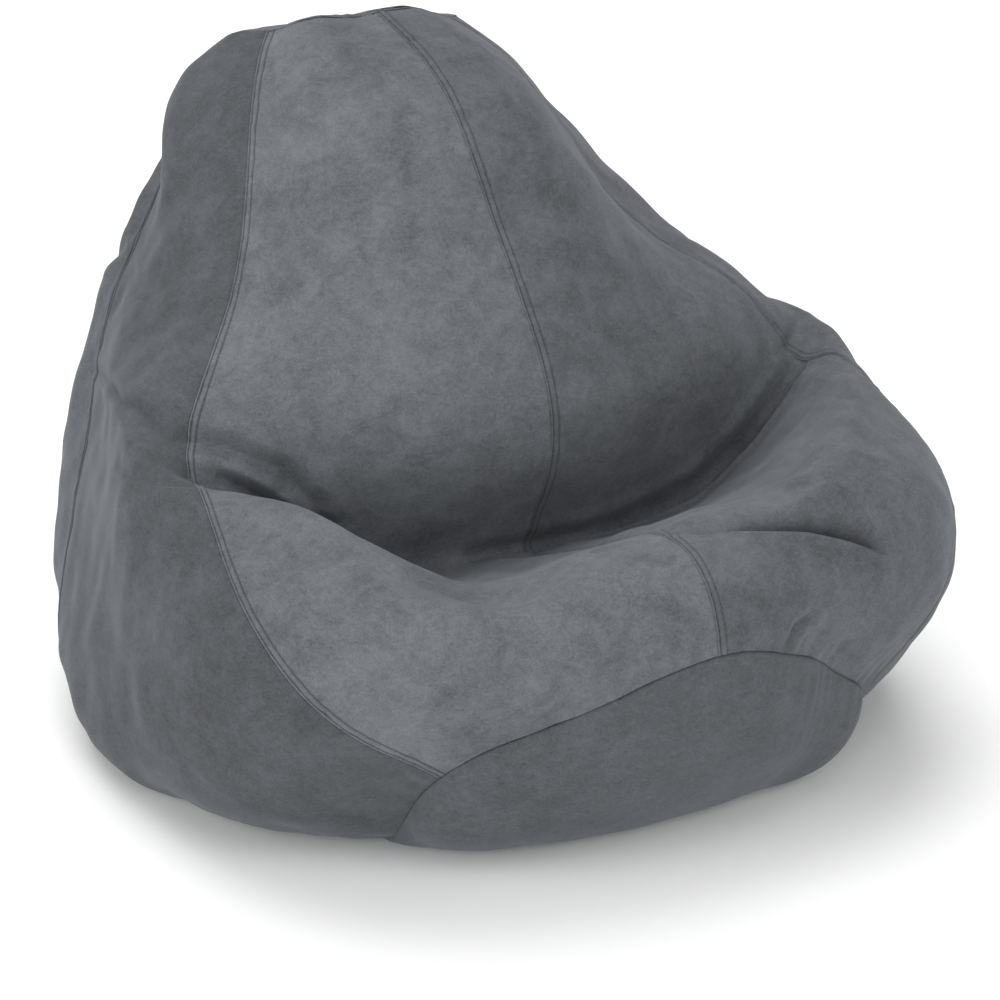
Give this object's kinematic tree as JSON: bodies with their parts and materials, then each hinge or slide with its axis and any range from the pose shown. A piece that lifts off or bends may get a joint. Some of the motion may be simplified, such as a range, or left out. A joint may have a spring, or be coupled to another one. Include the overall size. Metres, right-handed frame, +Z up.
{
  "type": "bean bag chair",
  "caption": "Pear-shaped bean bag chair in grey faux suede with sewn panels, a seat pressed into its front, a zipped base, a liner and a bead filling.",
  "frame": {"origin": "middle of the box's footprint, on the floor", "axes": "+Z up, the sitter faces -Y, +X is the sitter's left hand side"},
  "size_m": [1.016, 1.06, 0.806],
  "materials": {
    "cover_suede": "brushed faux suede, slate grey",
    "base_suede": "faux suede, slate grey, flatter nap",
    "zip_tape": "woven polyester tape",
    "zip_coil": "nylon coil",
    "zip_metal": "zinc, satin",
    "liner_cloth": "plain woven polyester, off-white",
    "beads": "expanded polystyrene beads",
    "label_satin": "blank woven satin label"
  },
  "bodies": {
    "bag": {"panel_front_right": "cover_suede", "panel_right": "cover_suede", "panel_back_right": "cover_suede", "panel_back_left": "cover_suede", "panel_left": "cover_suede", "panel_front_left": "cover_suede", "top_cap": "cover_suede", "base_panel_front": "base_suede", "base_panel_rear": "base_suede", "zip_tape_front": "zip_tape", "zip_tape_rear": "zip_tape", "zip_coil_front": "zip_coil", "zip_coil_rear": "zip_coil", "zip_top_stop": "zip_metal", "zip_bottom_stop": "zip_metal", "liner": "liner_cloth", "liner_closure": "liner_cloth", "bead_fill": "beads", "care_label": "label_satin"},
    "slider": {"zip_slider": "zip_metal"}
  },
  "joints": [
    {"name": "zip_slide", "type": "slide", "parent": "bag", "child": "slider", "axis": [-1, 0, 0], "range_m": [0, 0.464]}
  ]
}
